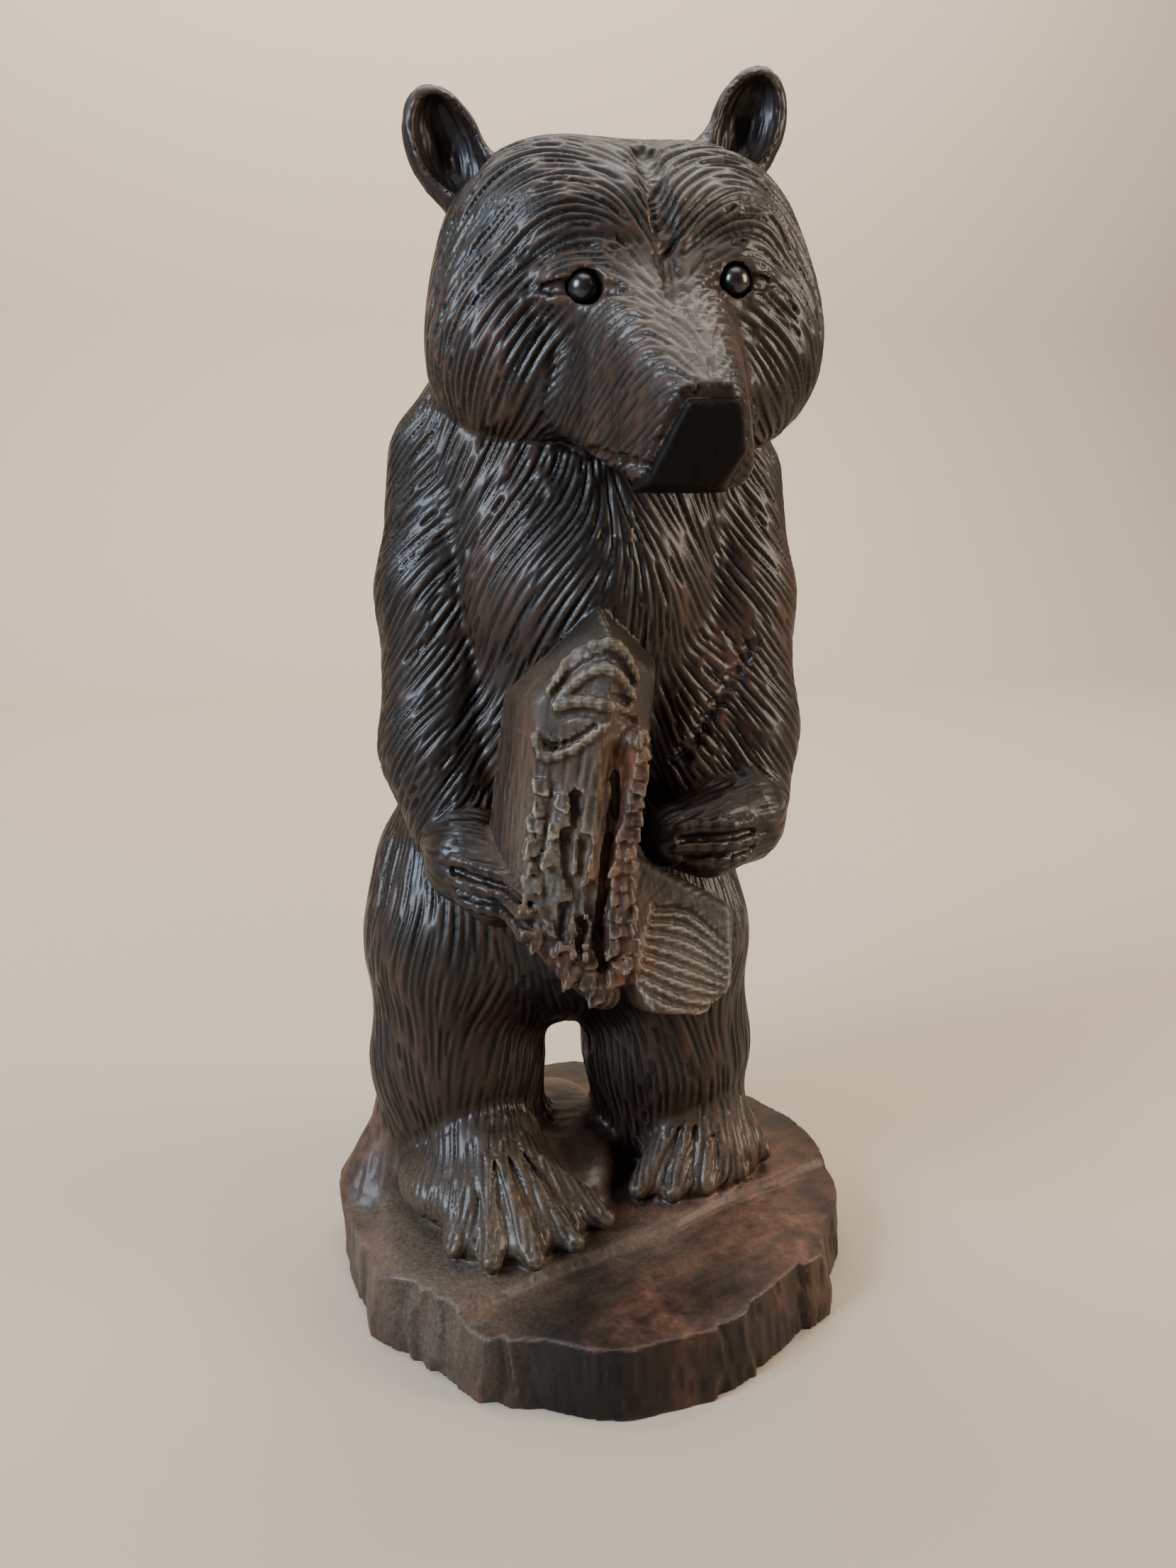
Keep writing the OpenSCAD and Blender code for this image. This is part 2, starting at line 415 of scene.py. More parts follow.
def foot(form, node, toes, heel, instep):
    """A broad wedge that falls from the ankle, ridged into long toes."""
    form.add(node, limb(instep, 11, heel, 14), 6)
    for first, second in zip(toes, toes[1:]):
        web = (first + second) / 2 + 0.12 * (instep - (first + second) / 2)
        form.add(node, limb(instep, 12, web - (0, 0, 2.0), 4.6), 3)
    for toe in toes:
        high = toe + 0.8 * (instep - toe) + (0, -3, 8)
        form.add(node, limb(high, 2.4, toe + (0, 0, -0.4), 3.2), 1.6)
        crest = toe + (0, 1.5, 2.4)
        form.add(node, limb(high + (0, -1.2, 1.2), 0.9, crest, 1.0), 1.0)
        tip = toe + 0.12 * (toe - instep) * (1, 1, 0)
        form.add(node, limb(toe + (0, 0, -0.8), 3.0, tip + (0, 0, -1.2), 2.2), 0.8)
    for first, second in zip(toes, toes[1:]):
        gap = (first + second) / 2 + (0, -4, 1.0)
        back = gap + 0.72 * (instep - gap) + (0, -2, 8.5)
        form.cut(limb(gap, 1.4, back, 0.4), 1.0)


# Each foot: its toes, heel and instep, and the middle and radii of its sole
FEET = {
    "right_foot": (((-13, -21, -6.0), (-6.5, -26, -6.2), (1.5, -27, -6.2), (9.5, -23, -6.2),
                    (16.5, -17, -6.0)), (-10, 16, -5), (-5.5, 0, 1), (-8, -2, -3.5), (17, 17, 9)),
    "left_foot": (((-15, -16, -4.2), (-8.5, -18, -4.2), (-1, -17, -4.2), (7, -13.5, -4.2), (14, -7, -4.2)),
                  (-1, 11, -4), (0, -1, 2.5), (1.5, 0, -2.5), (15, 15, 8)),
}


def feet():
    """Both feet, and the ground that swells up around them."""
    form = bear.form(2.0)
    for node, (toes, heel, instep, sole, radii) in FEET.items():
        foot(form, node, [near(node, *toe) for toe in toes], near(node, *heel), near(node, *instep))
        lump(form, node, sole, radii, 4)
    flare = bear.form(5.0)
    flare.add("base_slab", limb(near("right_leg", -13, -2, -26), 7, near("right_leg", -17, -4, -40), 11), 5)
    flare.add("base_slab", ellipsoid((-7, 12, GROUND + 2), (15, 26, 9.5)), 5)


# ---------------------------------------------------------------- body and arms

def body():
    form = bear.form(6.5)
    for node, place, radii, blend in (
            ("hips", (0, 2.5, 9), (41, 28, 25), 6), ("hips", (-2, 0.5, -6), (36, 26, 24), 8),
            ("hips", (1, -13, 0), (24, 17, 20), 8), ("torso", (-3, 1, -22), (36, 28, 24), 8),
            ("torso", (-4, 2, -37), (34, 27, 24), 8), ("torso", (-5, -21, -34), (13, 12, 27), 5),
            ("torso", (0, -4, 8), (31, 27, 32), 8), ("torso", (-10, 4, 33), (27, 24, 27), 10),
            ("torso", (13, 2, 33), (27, 24, 26), 10)):
        lump(form, node, place, radii, blend)


# For each arm: how softly it joins the body, its places and radii from shoulder to wrist, and its paw's
ARMS = (
    (1.2, "right_arm", ((2.4, 6, 33), (-3.6, 0, 8), (-4.4, -7, -24), (-1.6, -12, -38)),
     (17, 13.6, 13.4, 12),
     "right_paw", ((-4.4, 4, 1.0), (0.6, -3, -2.5), (7, -8.5, -1)), (10.4, 8, 6.2)),
    (2.6, "left_arm", ((-2.0, 6, 31), (1.6, 0, 8), (2.0, -6, -20), (0.2, -11, -33)),
     (16, 13.4, 13.0, 12.6),
     "left_paw", ((6.5, 3, 1.2), (-1.5, -2.5, -0.6), (-10, -5.5, 0.4)), (10.2, 8.2, 6.4)),
)


def arms():
    """Both arms, the left one widened inward to lie on the chest."""
    for softness, arm, places, radii, paw, paw_places, paw_radii in ARMS:
        form = bear.form(softness)
        chain(form, arm, places, radii, 5)
        chain(form, paw, paw_places, paw_radii, 3.0)
    chain(form, "left_arm", ((-8, -1, 4), (-9, -7, -26)), (11, 11), 6)
    chain(form, "left_arm", ((-12, -7, -6), (-12, -11, -25)), (10.5, 10), 6)


def claws():
    """Long ridges along the back of each paw, ending at the fish, with dark cuts between them."""
    rows = {"right_paw": (((-9, 3.4), (4, 1.0)), ((-9.5, -0.4), (4, -2.6)), ((-8, -4.2), (4, -6.2))),
            "left_paw": (((6, 3.0), (-9, 3.2)), ((7, -0.6), (-10, -0.4)), ((6, -4.0), (-7, -3.8)))}
    for node, lines in rows.items():
        form = bear.form(0.5)
        placed = [bear.over(node, *line, count=7) for line in lines]
        for places in placed:
            ridge(form, node, places, 1.4, 0.8, 0.8)
        for first, second in zip(placed, placed[1:]):
            score(bear, [(a + b) / 2 for a, b in zip(first, second)], 0.8, 0.1, 0.4)


def chips():
    """A chain of short notches along the edge of the bear's left forearm, where it lies on the chest."""
    for across, up in line_of((1, -1), (-14.5, -23), 9):
        start, end = bear.over("left_arm", (across - 1.6, up - 0.8), (across + 2.0, up + 0.4))
        bear.cut(limb(start - (0, 0.2, 0), 0.6, end - (0, 0.4, 0), 1.5), 0.3)


# ---------------------------------------------------------------- head

def head():
    form = bear.form(0.8)
    lump(form, "head", (0.5, 2, 2.6), (38.5, 30, 28), 2.0)
    for side in (-1, 1):
        lump(form, "head", (0.5 + side * 15, 2, 9.6), (21, 22, 21), 5)
    lump(form, "head", (-20, -5.5, -10.5), (20.5, 21, 21.5), 8)
    lump(form, "head", (20.5, -7, -8.5), (19.5, 20, 21), 8)
    lump(form, "head", (0.5, -13, -19), (18, 14, 13), 6)
    for side in (-1, 1):
        lump(form, "head", (1.5 + side * 13, -18.0, 11), (12, 8, 6.5), 6)
    for node in EYES:
        form.add("head", ellipsoid(mid(node) + (0, 1.6, 0), (8, 4.0, 6)), 3)
    nose = mid("nose")
    root = near("muzzle", 0.8, 8, 4)
    tip = nose + (0, -5.6, -1.6)
    widths = (18, 16.5, 13, 8.9)
    heights = (17, 14.5, 12, 10)
    form.add("muzzle", loft(root, tip, (0, -0.6, 0.8), widths, heights, 4.5, 0.3, 1.0), 5)
    faces = (((0, -8.6, -1), (0.05, -0.9, -0.42)), ((0, -8.5, 5.6), (0, -0.5, 0.86)),
             ((7.6, -4, 0), (0.95, -0.25, 0.12)), ((-7.3, -4, 0), (-0.9, -0.3, 0.25)),
             ((-1, -1, -10.0), (0, -0.25, -0.96)), ((6.2, -3, -7.6), (0.7, -0.4, -0.55)),
             ((0, -1.5, 0), (0, 1, 0.2)))
    form.add("nose", block(nose, faces, 0.7), 0.4)
    return form


def ears(form):
    """Upright rounded leaves, each hollowed in front and open towards the head."""
    for node, lean, shift, lift in (("right_ear", -23, -3.4, 2.4), ("left_ear", 19, 3.6, 1.0)):
        side = side_of(node)
        a = math.radians(lean)
        c, s = math.cos(a), math.sin(a)
        turn = np.array([[c, 0, -s], [0, 1, 0], [s, 0, c]], np.float32)
        across, _, up = turn
        middle = near(node, shift, 1.5, lift)
        form.add(node, ellipsoid(middle, (7.7, 4.6, 12.0), turn), 2.0)
        form.add(node, ellipsoid(middle - up * 8 - across * side * 2.5, (7.0, 5.5, 7), turn), 2.5)
        scoop = middle + up * 0.5 - across * side * 0.4
        form.cut(ellipsoid(scoop - (0, 4.6, 0), (6.3, 7.2, 9.8), turn), 0.4)
        form.cut(ellipsoid(scoop - up * 5 - across * side * 1.5 - (0, 6.0, 0), (4.6, 6.0, 6.0), turn), 2.0)


# Radius of the drilled sockets, at the bead and at the face
SOCKET = (3.25, 3.35)


def face_cuts():
    """The furrow down the brow, the drilled sockets, the slits at the eyes' corners, and the mouth."""
    furrow = bear.over("head", (1.2, 26), (1.3, 22), (2.2, 13), (2.8, 1), (3, -3), count=12)
    score(bear, furrow, 2.0, 0.9, 2.2, 0.7)
    for node in EYES:
        bead = mid(node)
        bear.cut(limb(bead, SOCKET[0], bead - (0, 9, 0), SOCKET[1]), 0.25)
        for way, reach, drop in ((side_of(node), 8.4, -0.2), (-side_of(node), 7.0, -1.8)):
            corner = bear.front(bead[0] + way * reach, bead[2] + drop)
            start = bear.front(bead[0] + way * 3.4, bead[2] + drop * 0.3)
            bear.cut(limb(start, 1.7, corner, 0.8), 0.5)
    lip = bear.over("nose", (-9.0, -6.0), (-12.5, -4.6), (-16.5, -2.8), (-20.5, -0.6), count=9)
    score(bear, lip, 1.0, 0.2, 0.5, 0.5)


# ---------------------------------------------------------------- salmon

def facing(a, b, c):
    """The front face through three points."""
    a, b, c = (np.asarray(v, np.float32) for v in (a, b, c))
    normal = np.cross(b - a, c - a)
    return a, -normal * np.sign(normal[1])


def salmon():
    """A flat-hewn fish hung head up: two long panels meet in a keel, and the tail fans to one side."""
    form = bear.form(0.6)
    top, low, left, right = (5.3, -5.5, 43), (-2.2, -12.2, -9), (-12.5, -2.5, 18), (9, -3.0, 18)
    outline = (((-12.2, 0, 12), (-0.93, -0.35, 0.12)), ((-2, -2, 36.0), (-0.66, -0.2, 0.72)),
               ((9.0, -2, 37.0), (0.7, -0.25, 0.7)), ((12.4, -2, 23), (0.97, -0.2, -0.1)),
               ((-7, -2, -19.5), (-0.68, -0.25, -0.7)), ((0, 0, -29), (0, 0, -1)), ((0, 11, 0), (0, 1, 0)))
    panels = (facing(top, low, left), facing(top, low, right))
    whole = block(mid("salmon_body"), panels + outline, 1.0, 46)
    neck = float(node_box["salmon_head"][0][2])
    shape, low_corner, high_corner = whole
    below = (lambda p: smooth_max(shape(p), p[:, 2] - neck - 0.2, 0.1), low_corner, high_corner)
    above = (lambda p: smooth_max(shape(p), neck - p[:, 2] - 0.2, 0.1), low_corner, high_corner)
    form.add("salmon_body", below, 0.6)
    form.add("salmon_head", above, 0.6)
    low_edge = ((-12, -6, -12), (-4, -9, -21), (2, -11, -26))
    right_edge = ((8.5, -4.5, 21), (6.5, -5.5, 4), (4.5, -8, -12), (6, -10, -22))
    for line in (low_edge, right_edge):
        for pair in zip(line, line[1:]):
            chain(form, "salmon_body", pair, (3.0, 3.2), 1.0)
    fan = (((0, -4.2, 0), (0.2, -0.82, 0.52)), ((0, 5, 0), (-0.1, 0.95, -0.3)),
           ((0, -3, -11.6), (-0.12, -0.35, -0.93)), ((10.6, -1, -2), (0.97, -0.1, -0.12)),
           ((5, 1, 11.5), (0.5, 0.1, 0.86)), ((-10.5, -3, -3), (-0.93, -0.2, -0.25)),
           ((8, -2, -9), (0.6, -0.3, -0.75)))
    form.add("salmon_tail", block(mid("salmon_tail"), fan, 1.6, 18), 0.6)
    return form


def scales(form, places, wide=1.7, tall=1.6):
    """Small shingled chips, each standing out at its lower edge."""
    for place in bear.over("salmon_body", *places):
        w = wide * dice.uniform(0.7, 1.25)
        turn = dice.uniform(-0.45, 0.45)
        faces = (((0, -0.1, tall), (turn, -0.92, 0.42)), ((0, 0, -tall), (turn, 0.1, -1)),
                 ((w, 0, 0), (1, 0, turn)), ((-w, 0, 0), (-1, 0, turn)), ((0, 2, 0), (0, 1, 0)),
                 ((0, 0, tall), (0, 0.2, 1)))
        form.add("salmon_body", block(place, faces, 0.2, 3.0), 0.15)


def line_of(start, end, count):
    """Evenly spaced places from start to end."""
    return [tuple(np.array(start) + (np.array(end) - start) * i / (count - 1)) for i in range(count)]


def fish_details(form):
    """Brow arches, jaw ledge, gill, scales in rows, and the rays of the tail."""
    arch = bear.over("salmon_head", (-7.6, -3.0), (-3.2, 2.4), (2.6, 5.8), (6.0, 3.4), (8.2, -1.0), count=11)
    brow = bear.over("salmon_head", (-6.2, -4.4), (-2.4, -0.6), (1.8, 1.4), (5, -0.8), (7.4, -4.4), count=11)
    score(bear, [(a + b) / 2 for a, b in zip(arch, brow)], 0.7, 0.2, 0.8)
    ridge(form, "salmon_head", arch, 0.95, 0.0, 0.7)
    ridge(form, "salmon_head", brow, 0.95, -0.2, 0.7)
    ledge = bear.over("salmon_head", (-6.5, -5.6), (-2, -4.6), (2.4, -5.4), count=6)
    below = bear.over("salmon_head", (-6, -7.4), (-2, -6.8), (2.0, -7.8), count=6)
    ridge(form, "salmon_head", ledge, 1.1, -0.4, 0.4)
    score(bear, below, 0.8, 0.2, 0.5)
    for across, up in ((5.0, -4.4), (6.4, -8.4)):
        a, b = bear.over("salmon_head", (across - 2, up + 1), (across + 1.6, up - 1))
        bear.cut(limb(a, 0.5, b, 1.1), 0.5)
    gill = bear.over("salmon_head", (-10.6, -11.6), (-9.4, -15.0), (-5, -14), (1, -9.2), count=8)
    ridge(form, "salmon_head", gill, 0.95, -0.1, 0.6)
    score(bear, [p + (1.2, 0, 2.0) for p in gill[2:-1]], 0.7, 0, 0.5)
    score(bear, bear.over("salmon_body", (7.2, 20), (3.6, 4), (1.0, -15), count=6), 1.4, 0.4, 0.8, 0.8)
    belly = bear.over("salmon_body", (-6.5, 14), (-8.8, 0), (-8, -11), (-1.6, -17.2), count=9)
    score(bear, belly, 0.5, 0.1, 0.6)
    scales(form, line_of((-8.8, 13.5), (-11.2, -8), 7), 1.9, 1.5)
    scales(form, line_of((-5.4, 11), (-7.6, 1), 3), 1.6)
    scales(form, line_of((-11.6, -12), (0, -25), 7))
    scales(form, line_of((-8.0, -12.5), (1.6, -21), 5), 1.5)
    for across, up, drop in ((-2.6, 12, 7), (-4.6, 5, 8), (-1.4, 4, 7), (-3.6, -4, 8), (-0.8, -5, 6),
                             (-5.4, -9, 6), (-2.4, -12, 6), (4.4, 15, 8), (3.0, 3, 9), (2.0, -7, 8)):
        lean = dice.uniform(-0.16, 0.16) * drop
        facet = bear.over("salmon_body", (across, up), (across + lean, up - drop), count=4)
        score(bear, facet, 1.5, -0.75, 0.2, 0.55)
    for shift in (-1.3, 1.5):
        scales(form, line_of((8.4 + shift, 21 + shift), (6.0 + shift, 0 + shift), 8), 1.4, 1.4)
        scales(form, line_of((5.2 + shift, -3 + shift), (5.4 + shift, -21 + shift), 7), 1.4, 1.3)
    for i in range(8):
        t = i / 7
        start = (-9.0 + 4.6 * t, -3.0 + 12 * t)
        middle = (-2.0 + 4.6 * t, -7.0 + 14.6 * t)
        end = (7.5 + 2.0 * t, -9.5 + 11 * t)
        score(bear, bear.over("salmon_tail", start, middle, end, count=7), 0.9, 0.1, 0.35, 0.8)


bear.form(1.0).add("base_slab", slab_shape(), 1.0)
legs()
feet()
body()
arms()
fish_details(salmon())
chips()
claws()
ears(head())
face_cuts()


# ---------------------------------------------------------------- meshing

def grid_points(low, counts, cell):
    axes = [low[i] + cell * np.arange(counts[i], dtype=np.float32) for i in range(3)]
    return np.stack(np.meshgrid(*axes, indexing="ij"), -1).reshape(-1, 3)


def sample_field(low, high, cell):
    """The field on a grid, worked out finely only near the surface."""
    scale = 8
    counts = np.ceil((high - low) / (cell * scale)).astype(int) + 1
    values = bear.distance(grid_points(low, counts, cell * scale)).reshape(counts)
    while scale > 1:
        scale //= 2
        for axis in range(3):
            values = np.repeat(values, 2, axis=axis)
        close = np.flatnonzero(np.abs(values).ravel() < 3.8 * cell * scale)
        where = np.stack(np.unravel_index(close, values.shape), -1).astype(np.float32)
        values = values.ravel()
        values[close] = bear.distance(where * cell * scale + low)
        counts = counts * 2
        values = values.reshape(counts)
    return values


def surface_net(values, low, cell):
    """One vertex in each cell that the surface crosses, one quad across each crossed grid edge."""
    inside = values < 0
    corners = [(i, j, k) for i in (0, 1) for j in (0, 1) for k in (0, 1)]
    n = np.array(values.shape) - 1

    def part(array, c):
        return array[c[0]:c[0] + n[0], c[1]:c[1] + n[1], c[2]:c[2] + n[2]]

    count = sum(part(inside, c).astype(np.int8) for c in corners)
    mixed = (count > 0) & (count < 8)
    cells = np.stack(np.nonzero(mixed), -1)
    index = np.full(n, -1, np.int64)
    index[mixed] = np.arange(len(cells))
    v = np.stack([part(values, c)[mixed] for c in corners], -1)
    total = np.zeros((len(cells), 3))
    hits = np.zeros(len(cells))
    for a, ca in enumerate(corners):
        for b, cb in enumerate(corners):
            if b <= a or sum(abs(x - y) for x, y in zip(ca, cb)) != 1:
                continue
            cross = (v[:, a] < 0) != (v[:, b] < 0)
            t = np.where(cross, v[:, a] / np.where(cross, v[:, a] - v[:, b], 1), 0)
            spot = np.array(ca) + t[:, None] * (np.array(cb) - np.array(ca))
            total += np.where(cross[:, None], spot, 0)
            hits += cross
    points = (cells + total / hits[:, None]) * cell + low
    quads = []
    for axis in range(3):
        one, two = (axis + 1) % 3, (axis + 2) % 3
        ahead = [slice(None)] * 3
        behind = [slice(None)] * 3
        ahead[axis] = slice(1, None)
        behind[axis] = slice(None, -1)
        a, b = inside[tuple(behind)], inside[tuple(ahead)]
        for leaving in (True, False):
            at = np.stack(np.nonzero((a & ~b) if leaving else (~a & b)), -1)
            around = []
            for d1, d2 in ((0, 0), (-1, 0), (-1, -1), (0, -1)):
                c = at.copy()
                c[:, one] += d1
                c[:, two] += d2
                around.append(index[c[:, 0], c[:, 1], c[:, 2]])
            quad = np.stack(around, -1)
            quads.append(quad if leaving else quad[:, ::-1])
    return points.astype(np.float32), np.concatenate(quads)


def keep_largest(points, quads):
    """Drops stray crumbs: only the faces joined to the main body stay."""
    group = np.arange(len(points))
    while True:
        least = group[quads].min(1)
        before = group.copy()
        for i in range(4):
            np.minimum.at(group, quads[:, i], least)
        group = group[group]
        if np.array_equal(before, group):
            break
    main = np.bincount(group[quads[:, 0]]).argmax()
    quads = quads[group[quads[:, 0]] == main]
    used, flat = np.unique(quads, return_inverse=True)
    return points[used], flat.reshape(-1, 4)


def subdivide(points, quads):
    """Each quad becomes four."""
    edges = np.sort(np.stack([quads, np.roll(quads, -1, 1)], -1).reshape(-1, 2), axis=1)
    key = edges[:, 0].astype(np.int64) * len(points) + edges[:, 1]
    unique, back = np.unique(key, return_inverse=True)
    ends = np.stack([unique // len(points), unique % len(points)], -1)
    mids = (points[ends[:, 0]] + points[ends[:, 1]]) / 2
    centres = points[quads].mean(1)
    m = back.reshape(-1, 4) + len(points)
    c = np.arange(len(quads)) + len(points) + len(mids)
    corners = [np.stack([quads[:, i], m[:, i], c, m[:, i - 1]], -1) for i in range(4)]
    return np.concatenate([points, mids, centres]), np.stack(corners, 1).reshape(-1, 4)


def face_normals(points, quads):
    a, b, c, d = (points[quads[:, i]] for i in range(4))
    return np.cross(c - a, d - b)


def vertex_normals(points, quads):
    n = face_normals(points, quads)
    out = np.zeros_like(points)
    for i in range(4):
        for axis in range(3):
            out[:, axis] += np.bincount(quads[:, i], n[:, axis], len(points))
    return unit(out)


def neighbour_mean(values, quads):
    """Each vertex's neighbours' mean, for one value a column."""
    total = np.zeros_like(values)
    count = np.zeros(len(values), np.float32)
    for i in range(4):
        a, b = quads[:, i], quads[:, (i + 1) % 4]
        for column in range(values.shape[1]):
            total[:, column] += np.bincount(a, values[b, column], len(values))
        count += np.bincount(a, minlength=len(values))
    return total / np.maximum(count, 1)[:, None]


def relax(points, quads, amount=0.5):
    """Evens out the spacing of points by sliding each towards its neighbours' middle."""
    drift = neighbour_mean(points, quads) - points
    n = vertex_normals(points, quads)
    drift -= (drift * n).sum(1, keepdims=True) * n
    return points + amount * drift


def settle(points, quads):
    """Moves points onto the sculpted surface."""
    return points - vertex_normals(points, quads) * np.clip(bear.distance(points), -0.5, 0.5)[:, None]


def build_surface():
    values = sample_field(FIGURE_LOW, FIGURE_HIGH, CELL)
    points, quads = keep_largest(*surface_net(values, FIGURE_LOW, CELL))
    points = relax(settle(points, quads), quads)
    return settle(points, quads), quads


# ---------------------------------------------------------------- the lie of the fur

def spread(p, across, back, up):
    """Directions from three components, each a number or one value a point."""
    out = np.empty((len(p), 3), np.float32)
    out[:, 0], out[:, 1], out[:, 2] = across, back, up
    return out


def bell(p, centre, radius):
    """1 at a place, falling to 0 a few radii away."""
    return np.exp(-((p - centre) ** 2).sum(1) / (2 * radius * radius))


def eye_clear(p):
    """0 at the bead eyes, 1 away from them."""
    clear = np.ones(len(p), np.float32)
    for node in EYES:
        clear *= np.clip((length_of(p - mid(node)) - 3.8) / 3, 0, 1)
    return clear


def head_fur(p, n):
    """From a parting down the brow, in arcs over the eyes and back round the cheeks."""
    eye = (mid(EYES[0]) + mid(EYES[1])) / 2
    u = (p[:, 0] - eye[0]) / half("head")[0]
    v = (p[:, 2] - eye[2]) / half("head")[2]
    out = np.abs(u)
    rise = 1.5 * np.exp(-out / 0.2) * np.clip(v * 3, 0, 1) + 0.4 - 2.4 * out ** 1.4 + 1.2 * np.minimum(v, 0)
    return spread(p, np.sign(u), 0.55, rise), 1.6, 30.0, 0.75 * eye_clear(p)


def muzzle_fur(p, n):
    side = np.tanh((p[:, 0] - mid("nose")[0]) / 3)
    flank = np.abs(n[:, 0])
    return spread(p, side * 0.5, 1.0, 0.5 - 1.6 * flank), 1.35, 10.0, 0.42 * eye_clear(p)


def ear_fur(p, n):
    return spread(p, 0.2 * np.sign(mid("head")[0] - p[:, 0]), -0.1, -1.0), 1.7, 9.0, 0.28


def torso_fur(p, n):
    x = p[:, 0] - mid("torso")[0] - 4
    lower = np.clip((mid("torso")[2] + 25 - p[:, 2]) / 50, 0, 1)
    return spread(p, (0.3 + 0.45 * lower) * np.tanh(x / 9), 0.25, -1.0), 1.4, 32.0, 0.66


def arm_fur(side):
    return lambda p, n: (spread(p, 0.72 * side, 0.55, -1.0), 1.4, 28.0, 0.7)


def paw_fur(side):
    return lambda p, n: (spread(p, -side, -0.4, -0.2), 1.8, 10.0, 0.3)


def hips_fur(p, n):
    belly = bell(p, near("hips", 4, -26, 2), 15)
    return spread(p, 0.5 * belly, 0.1, -1.0), 1.6 - 0.3 * belly, 26.0 - 18 * belly, 0.5


def leg_fur(side):
    return lambda p, n: (spread(p, 0.1 * side, -0.25, -1.0), 1.7, 26.0, 0.5)


def foot_fur(side):
    def fur(p, n):
        name = "left_foot" if side > 0 else "right_foot"
        return spread(p, (p[:, 0] - mid(name)[0]) / 30, -1.0, -0.5), 1.6, 14.0, 0.42

    return fur


def slab_fur(p, n):
    flat = np.clip((n[:, 2] - 0.5) * 4, 0, 1)
    heading = spread(p, flat * 0.9, flat * 0.4, -1.0 + flat)
    return heading, 3.4 + 1.6 * flat, 10.0 + 8 * flat, 0.24 - 0.12 * flat


def fish_fur(p, n):
    return spread(p, -0.15, 0.0, -1.0), 1.7, 9.0, 0.26


def fish_head_fur(p, n):
    return spread(p, -0.15, 0.0, -1.0), 2.3, 8.0, 0.08


def tail_fur(p, n):
    root = near("salmon_tail", -12, 0, 6)
    return p - root, 1.5, 8.0, 0.12


FUR = {"head": head_fur, "muzzle": muzzle_fur, "torso": torso_fur, "hips": hips_fur, "base_slab": slab_fur,
       "salmon_head": fish_head_fur, "salmon_body": fish_fur, "salmon_tail": tail_fur,
       "nose": lambda p, n: (spread(p, 0.1, -0.2, -1.0), 1.8, 5.0, 0.1)}
for side, word in ((-1, "right"), (1, "left")):
    FUR[word + "_ear"] = ear_fur
    FUR[word + "_arm"] = arm_fur(side)
    FUR[word + "_paw"] = paw_fur(side)
    FUR[word + "_leg"] = leg_fur(side)
    FUR[word + "_foot"] = foot_fur(side)


def lie_of_fur(points, normals, label):
    """Heading, gap, reach and depth of the strokes at every point."""
    heading = np.zeros_like(points)
    gap, reach, depth = (np.zeros(len(points), np.float32) for _ in range(3))
    for i, name in enumerate(CARVED):
        at = np.flatnonzero(label == i)
        if len(at):
            heading[at], gap[at], reach[at], depth[at] = FUR[name](points[at], normals[at])
    wander = 0.24 * waves(points[:, 0] + points[:, 1], points[:, 2], 9, 11)
    heading -= (heading * normals).sum(1, keepdims=True) * normals
    heading = unit(heading)
    across = np.cross(normals, heading)
    heading = heading * np.cos(wander)[:, None] + across * np.sin(wander)[:, None]
    return heading.astype(np.float32), gap, reach, depth


# ---------------------------------------------------------------- gouge strokes

class Boxes:
    """Small boxes over the figure, to find what lies near a place."""

    def __init__(self, size):
        self.size = size
        self.counts = np.ceil((FIGURE_HIGH - FIGURE_LOW) / size).astype(np.int64) + 1

    def key(self, points):
        cell = ((points - FIGURE_LOW) / self.size).astype(np.int64)
        np.clip(cell, 0, self.counts - 1, out=cell)
        return (cell[:, 0] * self.counts[1] + cell[:, 1]) * self.counts[2] + cell[:, 2]

    def around(self, radius):
        """Steps to every box within a radius, nearest first."""
        n = int(radius / self.size)
        line = np.arange(-n, n + 1)
        steps = np.stack(np.meshgrid(line, line, line, indexing="ij"), -1).reshape(-1, 3) * self.size
        far = np.linalg.norm(steps, axis=1)
        order = np.argsort(far, kind="stable")
        order = order[far[order] <= radius]
        return steps[order].astype(np.float32), far[order]

    def nearest(self, points, radius):
        """For every box, the place in points of one that is nearest to it, or -1."""
        table = np.full(self.counts.prod(), -1, np.int32)
        index = np.arange(len(points), dtype=np.int32)
        for step in self.around(radius)[0]:
            key = self.key(points + step)
            empty = table[key] < 0
            table[key[empty]] = index[empty]
        return table


STEP = 0.6
ROUNDS = 14


